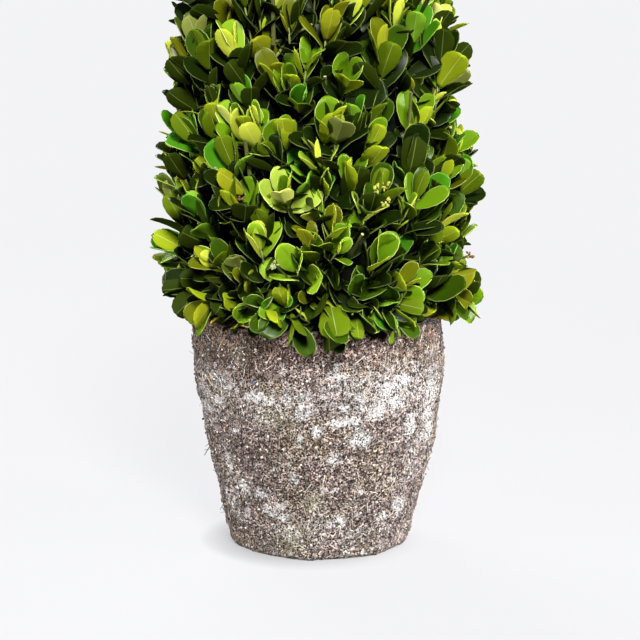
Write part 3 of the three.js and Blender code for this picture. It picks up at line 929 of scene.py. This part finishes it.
def potMaterial():
    # pressed peat and cement: matte grains of about 1 mm, grit of half that with dark pits between,
    # and felted fibres, under powdery white lime bloom that gathers in tufts of 2 to 4 mm
    material, tree, shader = newMaterial("peatCement", {
        "Roughness": 0.95, "Specular IOR Level": 0.12, "Sheen Weight": 0.16, "Sheen Roughness": 0.4,
    })
    place = addNode(tree, "TexCoord").outputs["Object"]
    grains = addNode(tree, "TexVoronoi", None, {"Vector": place, "Scale": 1000})
    fine = addNode(tree, "TexVoronoi", None, {"Vector": place, "Scale": 1800})
    tone = addNode(tree, "SeparateColor", None, {"Color": grains.outputs["Color"]})
    fineTone = addNode(tree, "SeparateColor", None, {"Color": fine.outputs["Color"]})
    patches = addNode(tree, "TexNoise", None, {
        "Vector": place, "Scale": 75, "Detail": 4, "Roughness": 0.6})
    felt = addNode(tree, "TexNoise", None, {
        "Vector": place, "Scale": 1100, "Detail": 2, "Distortion": 1.4})
    body = addNode(tree, "ValToRGB", None, {"Fac": tone.outputs["Red"]}, [
        (0.0, "#7f7470"), (0.3, "#a0958f"), (0.6, "#bbafaa"), (0.85, "#dbd1cc"), (1.0, "#fff6f2"),
    ]).outputs["Color"]
    shade = addNode(tree, "ValToRGB", None, {"Fac": fineTone.outputs["Green"]}, [
        (0.0, "#030202"), (0.2, "#221d1a"), (0.38, "#8e847e"), (0.6, "#dcd6d2"), (1.0, "#ffffff"),
    ]).outputs["Color"]
    # fibres about 0.3 mm wide, which lie pale over dark gaps
    strands = addNode(tree, "ValToRGB", None, {"Fac": felt.outputs["Fac"]}, [
        (0.36, "#5c534e"), (0.44, "#cfc8c3"), (0.5, "#ffffff"), (0.56, "#cfc8c3"),
        (0.64, "#544a45"),
    ]).outputs["Color"]
    drift = addNode(tree, "ValToRGB", None, {"Fac": patches.outputs["Fac"]}, [
        (0.34, "#c2b8b2"), (0.5, "#ece6e3"), (0.64, "#ffffff"),
    ]).outputs["Color"]
    # the peat leans from olive to violet over about 25 mm
    regions = addNode(tree, "TexNoise", None, {"Vector": place, "Scale": 42, "Detail": 2})
    lean = addNode(tree, "ValToRGB", None, {"Fac": regions.outputs["Fac"]}, [
        (0.38, "#fffce9"), (0.5, "#fffefa"), (0.62, "#fff9fb"),
    ]).outputs["Color"]
    peat = addNode(tree, "Mix", multiplied, {0: 0.8, 6: body, 7: drift}).outputs[2]
    peat = addNode(tree, "Mix", multiplied, {0: 1.0, 6: peat, 7: shade}).outputs[2]
    peat = addNode(tree, "Mix", multiplied, {0: 0.75, 6: peat, 7: strands}).outputs[2]
    peat = addNode(tree, "Mix", multiplied, {0: 1.0, 6: peat, 7: lean}).outputs[2]
    # open pits, near black, about 0.5 mm across and 1.5 mm apart
    pits = addNode(tree, "TexVoronoi", None, {"Vector": place, "Scale": 980})
    pitTone = addNode(tree, "SeparateColor", None, {"Color": pits.outputs["Color"]})
    pitSize = addNode(tree, "Math", {"operation": "MULTIPLY_ADD"}, {
        0: pitTone.outputs["Red"], 1: -0.28, 2: pits.outputs["Distance"]})
    pitting = addNode(tree, "MapRange", None, {
        "Value": pitSize.outputs["Value"], "From Min": 0.12, "From Max": 0.24, "To Min": 0.03})
    # painted shadow of the overhanging crown, darker towards the rim, and damp in patches, then a
    # green film and ochre stains
    paintedRimShadow = addNode(tree, "Attribute", {"attribute_name": "paintedRimShadow"}).outputs["Fac"]
    peat = addNode(tree, "Mix", multiplied, {0: paintedRimShadow, 6: peat, 7: linear("#dccbc0")}).outputs[2]
    dark = addNode(tree, "Attribute", {"attribute_name": "dark"}).outputs["Fac"]
    peat = addNode(tree, "Mix", multiplied, {0: dark, 6: peat, 7: linear("#9a8a80")}).outputs[2]
    moss = addNode(tree, "Attribute", {"attribute_name": "moss"}).outputs["Fac"]
    film = addNode(tree, "Mix", multiplied, {0: 0.6, 6: linear("#c2c2a2"), 7: shade}).outputs[2]
    greened = addNode(tree, "Mix", multiplied, {0: 1.0, 6: peat, 7: linear("#e6e8c6")}).outputs[2]
    greened = addNode(tree, "Mix", mixed, {0: 0.45, 6: greened, 7: film}).outputs[2]
    peat = addNode(tree, "Mix", mixed, {0: moss, 6: peat, 7: greened}).outputs[2]
    stain = addNode(tree, "Attribute", {"attribute_name": "stain"}).outputs["Fac"]
    peat = addNode(tree, "Mix", multiplied, {0: stain, 6: peat, 7: linear("#e8b850")}).outputs[2]
    # lime powder, where its veils and a tufted noise together are thick enough
    lime = addNode(tree, "Attribute", {"attribute_name": "lime"}).outputs["Fac"]
    upright = addNode(tree, "Mapping", None, {"Vector": place, "Scale": (1, 1, 0.65)})
    tufts = addNode(tree, "TexNoise", None, {
        "Vector": upright.outputs["Vector"], "Scale": 560, "Detail": 3, "Roughness": 0.7})
    gathered = addNode(tree, "Math", {"operation": "MULTIPLY_ADD"}, {
        0: tufts.outputs["Fac"], 1: 1.8, 2: lime})
    scatter = addNode(tree, "Math", {"operation": "MULTIPLY_ADD"}, {
        0: tone.outputs["Blue"], 1: 0.3, 2: gathered.outputs["Value"]})
    bloom = addNode(tree, "MapRange", None, {
        "Value": scatter.outputs["Value"], "From Min": 1.2, "From Max": 1.62, "To Max": 0.9})
    powder = addNode(tree, "Mix", multiplied, {0: 0.65, 6: linear("#cccac9"), 7: shade}).outputs[2]
    limed = addNode(tree, "Mix", mixed, {0: bloom.outputs["Result"], 6: peat, 7: powder}).outputs[2]
    pitted = addNode(tree, "Mix", multiplied, {0: 1.0, 6: limed, 7: pitting.outputs["Result"]})
    tree.links.new(pitted.outputs[2], shader.inputs["Base Color"])
    relief = addNode(tree, "Math", {"operation": "ADD"}, {
        0: felt.outputs["Fac"], 1: fineTone.outputs["Green"]})
    bump = addNode(tree, "Bump", None, {
        "Height": relief.outputs["Value"], "Distance": 0.0006, "Strength": 0.9})
    tree.links.new(bump.outputs["Normal"], shader.inputs["Normal"])
    return material


def potProfile():
    rounding, rim = potShape["footRounding"], potShape["rimRounding"]
    top, wall, floor = potShape["height"], potShape["wall"], potShape["floor"]
    profile = [(0.0, 0.0), (0.02, 0.0)]
    for i in range(7):
        angle = math.radians(-90 + 80 * i / 6)
        radius = wallRadius(rounding) - rounding + rounding * math.cos(angle)
        profile.append((radius, rounding + rounding * math.sin(angle)))
    rings = potLook["wallRings"]
    for i in range(rings + 1):
        height = rounding + (top - rim - rounding) * (i + 0.3) / (rings + 0.3)
        profile.append((wallRadius(height), height))
    outer, inner = wallRadius(top), potShape["rimRadius"] - wall
    for i in range(9):
        angle = math.radians(15 + 150 * i / 8)
        centre = outer - rim if i < 4 else inner + rim
        profile.append((centre + rim * math.cos(angle), top - rim + rim * math.sin(angle)))
    for i in range(7):
        height = top - 2 * rim - (top - 2 * rim - floor) * i / 6
        profile.append((float(potRadius(height)) - wall, height))
    profile.append((0.0, floor))
    return profile


def makePot(material):
    bm = turned(potProfile(), steps=potLook["segments"], merge=1e-6)
    bm.normal_update()
    lime = []
    for vert in bm.verts:
        lime.append(limeAt(vert.co))
        radius = math.hypot(vert.co.x, vert.co.y)
        outerShare = min(1, max(0, (radius - wallRadius(vert.co.z) + 0.0068) / 0.003))
        if vert.co.z > 0.0002 and outerShare > 0:
            vert.co += vert.normal * potRelief(vert.co) * outerShare
            vert.co.z = max(0.0, vert.co.z)
    piece = fromBmesh("potWall", bm, [material])
    mesh = piece.data
    points = np.empty(len(mesh.vertices) * 3)
    mesh.vertices.foreach_get("co", points)
    points = points.reshape(-1, 3)
    # painted shadow: the wall darkens towards the rim, under the overhanging crown
    paintedRimShadow = np.clip((points[:, 2] - 0.076) / 0.026, 0, 1)
    turn = np.degrees(np.arctan2(points[:, 1], points[:, 0])) + 90
    layers = {"lime": np.array(lime), "paintedRimShadow": paintedRimShadow}
    for name, places in (("moss", potLook["mossPatches"]), ("stain", potLook["stains"]),
                         ("dark", potLook["darkPatches"])):
        layers[name] = np.zeros(len(points))
        for angle, height, halfTurn, halfHeight, strength in places:
            sideways = (turn - angle + 180) % 360 - 180
            away = (sideways / halfTurn) ** 2 + ((points[:, 2] - height) / halfHeight) ** 2
            layers[name] += strength * np.exp(-away)
    for name, values in layers.items():
        layer = mesh.attributes.new(name, "FLOAT", "POINT")
        layer.data.foreach_set("value", values.astype(np.float32))
    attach(piece, "root")
    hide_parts("pot")
    print("pot", len(mesh.polygons) * 2, "triangles")


grit = {
    "count": 5200, "size": 0.0003, "sizeRange": 0.00048, "sunk": 0.55,
    "limedFrom": 0.4, "limedShare": 0.75,     # which grains on the lime are white
    "flecks": [(-30.5, 0.0822), (-29.6, 0.0815), (-30.2, 0.0808)], "fleckSize": 0.0005,
}
gritColours = {
    "pit": "#2b2521", "peat": "#6a5e55", "grey": "#a29990", "sand": "#bdb2aa",
    "straw": "#c6bcb2", "limeWhite": "#d2d1d1", "rust": "#a08270", "blueFleck": "#56607c",
}
# grains off the lime, each colour up to its share of 1
gritDeal = [
    ("pit", 0.3), ("peat", 0.54), ("grey", 0.78), ("sand", 0.92), ("straw", 0.97), ("rust", 1),
]


def makeGrit():
    # loose grains pressed into the wall: sand, peat crumbs, straw chips and lime
    names = list(gritColours)
    bm = bmesh.new()
    bmesh.ops.create_icosphere(bm, subdivisions=1, radius=1.0)
    blank, faces = blankShape(bm)
    copies, slots = [], []
    for grain in range(grit["count"]):
        turn = chance(grain, 21) * math.tau
        height = 0.002 + 0.1 * chance(grain, 22) ** 0.92
        size = grit["size"] + grit["sizeRange"] * chance(grain, 23) ** 2.4
        point, outwards = wallPoint(turn, height, size * (chance(grain, 24) - grit["sunk"]))
        sides = [1.0, 0.55 + 0.5 * chance(grain, 29), 0.4 + 0.5 * chance(grain, 30)]
        copies.append((blank * np.array(sides) * size) @ tumbled(grain, 25).T + np.array(point))
        pick = chance(grain, 31)
        if pick < grit["limedShare"] and limeAt(point) > grit["limedFrom"]:
            slots.append(names.index("limeWhite"))
        else:
            slots.append(names.index(next(name for name, upTo in gritDeal if pick <= upTo)))
    for angle, height in grit["flecks"]:              # one bluish fleck
        point, outwards = wallPoint(math.radians(angle - 90), height, 0.0001)
        copies.append(blank * grit["fleckSize"] + np.array(point))
        slots.append(names.index("blueFleck"))
    piece = joinedCopies("potGrit", np.array(copies), faces, sameSlots(slots, faces),
                         plainMaterials("grit", gritColours, 0.95), smooth=False)
    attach(piece, "root")


fibres = {
    "count": 1700, "length": 0.0013, "lengthRange": 0.0047, "thick": 0.0001, "thickRange": 0.00011,
    "standing": 0.06,                         # the share that stands off the wall
}
fibreColours = {
    "strawPale": "#cdc1ab", "strawDark": "#9a8468", "rootBrown": "#2e251e", "rustRed": "#a98a70",
    "ashGrey": "#bdb5ad",
}
fibreShares = [0.1, 0.11, 0.37, 0.06, 0.36]       # of each colour


def makeFibres():
    # chopped straw and root hairs, most flat on the wall, a few that stand off it
    bm = bmesh.new()
    bmesh.ops.create_cone(bm, cap_ends=True, segments=4, radius1=1.0, radius2=0.7, depth=1.0)
    lengthwise = [e for e in bm.edges if abs(e.verts[0].co.z - e.verts[1].co.z) > 0.5]
    bmesh.ops.subdivide_edges(bm, edges=lengthwise, cuts=3, use_grid_fill=True)
    blank, faces = blankShape(bm)
    copies = []
    for fibre in range(fibres["count"]):
        turn = chance(fibre, 41) * math.tau
        height = 0.004 + 0.096 * chance(fibre, 42)
        length = fibres["length"] + fibres["lengthRange"] * chance(fibre, 43) ** 2.4
        thick = fibres["thick"] + fibres["thickRange"] * chance(fibre, 44)
        point, outwards = wallPoint(turn, height, thick)
        stands = chance(fibre, 45) < fibres["standing"]
        around = Vector((-math.sin(turn), math.cos(turn), 0))
        lie = Quaternion(outwards, chance(fibre, 46) * math.tau) @ around
        axis = (lie + outwards * (0.9 if stands else 0.06)).normalized()
        sideways = stands or chance(fibre, 47) < 0.5
        bendWay = outwards.cross(axis).normalized() if sideways else -outwards
        curve = (0.1 + 0.3 * chance(fibre, 48)) * length
        along = blank[:, 2:3]
        third = np.array(axis.cross(bendWay).normalized())
        sag = curve * (0.25 - along ** 2) * (1 if stands else 0.35)
        shape = np.array(axis) * along * length + np.array(bendWay) * (blank[:, 0:1] * thick - sag)
        shape = shape + third * blank[:, 1:2] * thick
        copies.append(shape + np.array(point) + np.array(axis) * (length * 0.35 if stands else 0))
    picks = [min(0.999, chance(fibre, 49)) for fibre in range(len(copies))]
    slots = np.searchsorted(np.cumsum(fibreShares), picks)
    piece = joinedCopies("potFibres", np.array(copies), faces, sameSlots(slots, faces),
                         plainMaterials("fibre", fibreColours, 0.8))
    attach(piece, "root")


print("pot")
makePot(potMaterial())
makeGrit()
makeFibres()


fillShape = {
    "foot": 0.0094, "edge": 0.097,            # heights of its underside and of its rim
    "wall": 0.0088,                           # from the pot's outer curve in to the fill
    "topRadius": 0.0472, "rise": 0.003, "riseWidth": 0.0272,
    "crumbs": 620, "crumbSize": 0.0006, "crumbRange": 0.0013,
    "rimCrumbs": 14, "rimCrumbTurn": -39,     # where a lump was left on the rim
    "driedLeaves": 64, "driedLength": 0.0125,
    "leavesOverRim": [-33, -29, -25, -21, -17, -47, 34, 63, 120, 165, 215, 250],
}


def makeFill():
    # dry planting mix: brown fibre and bark crumbs
    material, tree, shader = newMaterial("dryPlantingMix", {
        "Roughness": 1.0, "Specular IOR Level": 0.1})
    place = addNode(tree, "TexCoord").outputs["Object"]
    crumbs = addNode(tree, "TexVoronoi", None, {"Vector": place, "Scale": 700})
    parts = addNode(tree, "SeparateColor", None, {"Color": crumbs.outputs["Color"]})
    colour = addNode(tree, "ValToRGB", None, {"Fac": parts.outputs["Red"]},
                     [(0.0, "#20140b"), (0.4, "#4a3120"), (0.75, "#6d4a2f"), (1.0, "#9a7248")])
    tree.links.new(colour.outputs["Color"], shader.inputs["Base Color"])
    bump = addNode(tree, "Bump", None, {"Height": crumbs.outputs["Distance"], "Distance": 0.0006})
    tree.links.new(bump.outputs["Normal"], shader.inputs["Normal"])
    foot, edge, top = fillShape["foot"], fillShape["edge"], fillShape["topRadius"]
    profile = [(0.0, foot)]
    for i in range(9):
        height = foot + (edge - foot) * i / 8
        profile.append((float(potRadius(height)) - fillShape["wall"], height))
    for i in range(1, 15):
        radius = top * (1 - i / 15)
        risen = min(1, (top - radius) / fillShape["riseWidth"])
        profile.append((radius, edge + fillShape["rise"] * risen))
    profile.append((0.0, edge + fillShape["rise"]))
    bm = turned(profile, steps=110, merge=1e-6)
    for vert in bm.verts:
        if vert.co.z > 0.0965:
            vert.co.z += (noise.noise(vert.co * 260) - 0.6) * 0.0009
    piece = fromBmesh("plantingMix", bm, [material])
    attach(piece, "root")
    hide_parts("fill")


def uneven(blank, index):
    # each corner pulled in or out
    bumps = [0.75 + 0.5 * chance(index, 10 + corner) for corner in range(len(blank))]
    return blank * np.array(bumps)[:, None]


mixColours = {
    "barkDark": "#3a2617", "barkBrown": "#6a472c", "fibreTan": "#957048", "peatBlack": "#1d130c",
}


def makeCrumbs():
    # bark crumbs and fibre lumps that fill the mix up to the rim
    bm = bmesh.new()
    bmesh.ops.create_icosphere(bm, subdivisions=1, radius=1.0)
    blank, faces = blankShape(bm)
    copies, slots = [], []
    for crumb in range(fillShape["crumbs"]):
        index = 7000 + crumb
        turn = chance(index, 1) * math.tau
        radius = 0.030 + 0.0165 * chance(index, 2) ** 0.6
        size = fillShape["crumbSize"] + fillShape["crumbRange"] * chance(index, 3) ** 2
        height = 0.0972 + size * 0.4 + 0.0025 * chance(index, 4) * (radius > 0.042)
        shape = uneven(blank, index) * np.array([1.5, 0.8, 0.6]) * size
        copies.append(shape @ tumbled(index, 5).T + np.array(atTurn(turn, radius, height)))
        slots.append(int(chance(index, 9) * len(mixColours)))
    # a lump of mix that was left on the rim
    for number in range(fillShape["rimCrumbs"]):
        index = 7900 + number
        turn = math.radians(fillShape["rimCrumbTurn"] + jitter(index, 1, 5.5)) - math.pi / 2
        radius = 0.0525 + 0.0035 * chance(index, 2)
        height = 0.1052 + 0.002 * chance(index, 4)
        size = 0.0009 + 0.0012 * chance(index, 3)
        shape = uneven(blank, index) * np.array([1.4, 1.0, 0.8]) * size
        copies.append(shape + np.array(atTurn(turn, radius, height)))
        slots.append(number % 3)
    piece = joinedCopies("mixCrumbs", np.array(copies), faces, sameSlots(slots, faces),
                         plainMaterials("mix", mixColours, 0.95), smooth=False)
    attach(piece, "root")


driedTints = {
    "driedTan": "#b2995a", "driedYellow": "#a8942f", "driedBrown": "#6f4c2b",
    "driedOlive": "#76702c",
}


def makeDriedLeaves():
    # fallen leaves that lie on the mix and lean on the rim from inside
    blank, faces, part = leafBlank()
    rows, slots = [], []
    for number in range(fillShape["driedLeaves"]):
        index = 8000 + number
        turn = chance(index, 1) * math.tau
        radius = 0.034 + 0.009 * chance(index, 2)
        base = atTurn(turn, radius, 0.1015 + 0.002 * chance(index, 3))
        swing = math.radians(jitter(index, 4, 80))
        direction = directionOf(turn + swing, 16 + jitter(index, 5, 12))
        across = direction.cross(Vector((0, 0, 1))).normalized()
        across.rotate(Quaternion(direction, math.radians(jitter(index, 6, 35))))
        length = fillShape["driedLength"] + 0.005 * chance(index, 7)
        rows.append((base, direction, across, length, length * 0.24, 0.5, jitter(index, 8, 0.3),
                     0, index, 0, None, index))
        slots.append(int(chance(index, 9) * len(driedTints)))
    for number, angle in enumerate(fillShape["leavesOverRim"]):
        index = 8100 + number
        turn = math.radians(angle) - math.pi / 2
        base = atTurn(turn, 0.0475, 0.1068 + 0.0008 * chance(index, 1))
        direction = directionOf(turn + math.radians(jitter(index, 2, 50)), jitter(index, 3, 5) - 2)
        across = direction.cross(Vector((0, 0, 1))).normalized()
        across.rotate(Quaternion(direction, math.radians(jitter(index, 4, 30))))
        length = fillShape["driedLength"] + 0.003 * chance(index, 5)
        rows.append((base, direction, across, length, 0.0034, 0.4, -0.12,
                     0, index, 0, None, index))
        slots.append(number % 2)
    points = leafPoints(rows, blank)
    keep = clearOfPot(points)
    piece = joinedCopies("driedLeaves", points[keep], faces, sameSlots(slots, faces)[keep],
                         plainMaterials("leaf", driedTints, 0.7))
    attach(piece, "root")


print("fill")
makeFill()
makeCrumbs()
makeDriedLeaves()


stage = {"flatRadius": 1.6, "curveRadius": 0.9, "height": 3.0}


def makeStage():
    # a seamless white paper sweep all round, which lights the plant only through the world
    material, tree, shader = newMaterial("studioPaper", {
        "Base Color": linear("#464648"), "Roughness": 1.0, "Specular IOR Level": 0.0,
        "Emission Color": linear("#f7f7f9"),
    })
    # the paper glows a little more away from the lamps, so that it looks evenly lit
    place = addNode(tree, "TexCoord").outputs["Object"]
    away = addNode(tree, "VectorMath", {"operation": "LENGTH"}, {"Vector": place})
    glow = addNode(tree, "MapRange", {"interpolation_type": "SMOOTHSTEP"}, {
        "Value": away.outputs["Value"], "From Min": 0.25, "From Max": 1.3,
        "To Min": 0.86, "To Max": 0.965})
    # and less beside the foot, in its soft shadow from a bright wall on the right
    wall = addNode(tree, "VectorMath", {"operation": "NORMALIZE"}, {"Vector": (0.75, 0.3, 0.5)})
    clear = addNode(tree, "AmbientOcclusion", {"samples": 8}, {
        "Distance": 0.015, "Normal": wall.outputs["Vector"]})
    footShadow = addNode(tree, "MapRange", None, {
        "Value": clear.outputs["AO"], "From Max": 0.95, "To Min": 0.5})
    dimmed = addNode(tree, "Math", {"operation": "MULTIPLY"}, {
        0: glow.outputs["Result"], 1: footShadow.outputs["Result"]})
    tree.links.new(dimmed.outputs["Value"], shader.inputs["Emission Strength"])
    shaded = addNode(tree, "MapRange", {"interpolation_type": "SMOOTHSTEP"}, {
        "Value": away.outputs["Value"], "From Min": 0.25, "From Max": 1.3,
        "To Min": 0.06, "To Max": 0.0})
    tree.links.new(shaded.outputs["Result"], shader.inputs["Base Color"])
    flat, curve = stage["flatRadius"], stage["curveRadius"]
    profile = [(0.0, 0.0)]
    for i in range(17):
        angle = math.radians(90 * i / 16)
        profile.append((flat + curve * math.sin(angle), curve - curve * math.cos(angle)))
    profile.append((flat + curve, stage["height"]))
    bm = turned(profile, steps=96, merge=1e-5)
    if min(bm.faces, key=lambda face: face.calc_center_median().length).normal.z < 0:
        bmesh.ops.reverse_faces(bm, faces=bm.faces)
    sweep = fromBmesh("studioSweep", bm, [material])
    sweep.visible_diffuse = False
    sweep.visible_shadow = False
    sweep.visible_glossy = False                  # else it greys every shaded leaf


def addArea(name, place, aim, size, watts, spread=180):
    lamp = bpy.data.lights.new(name, "AREA")
    lamp.shape = "SQUARE"
    lamp.size = size
    lamp.energy = watts
    lamp.spread = math.radians(spread)            # a narrow one lights little but the pot
    holder = bpy.data.objects.new(name, lamp)
    holder.location = place
    holder.rotation_euler = (Vector(aim) - Vector(place)).to_track_quat("-Z", "Y").to_euler()
    bpy.context.scene.collection.objects.link(holder)


makeStage()
addArea("keyLight", (0.19, -1.25, 1.0), (0, 0, 0.16), 0.34, 53.5)
addArea("sideLight", (1.2, -0.42, 0.12), (0, 0, 0.045), 0.3, 1.0, 26)
addArea("fillLight", (-1.15, -0.5, 0.12), (0, 0, 0.045), 0.3, 0.66, 26)
addArea("backLight", (-0.5, 1.2, 1.1), (0, 0, 0.2), 0.8, 34)

world = bpy.data.worlds.new("softStudio")
world.use_nodes = True
world.node_tree.nodes["Background"].inputs["Color"].default_value = linear("#f9f8f6")
world.node_tree.nodes["Background"].inputs["Strength"].default_value = 0.035
bpy.context.scene.world = world
bpy.context.scene.view_settings.view_transform = "Standard"

camera = bpy.data.cameras.new("camera")
camera.lens = 100
camera.sensor_width = 36
cameraHolder = bpy.data.objects.new("camera", camera)
cameraHolder.location = (0.0005, -0.7983, 0.225)
cameraHolder.rotation_euler = (math.pi / 2 - 0.154, 0, 0)
bpy.context.scene.collection.objects.link(cameraHolder)
bpy.context.scene.camera = cameraHolder
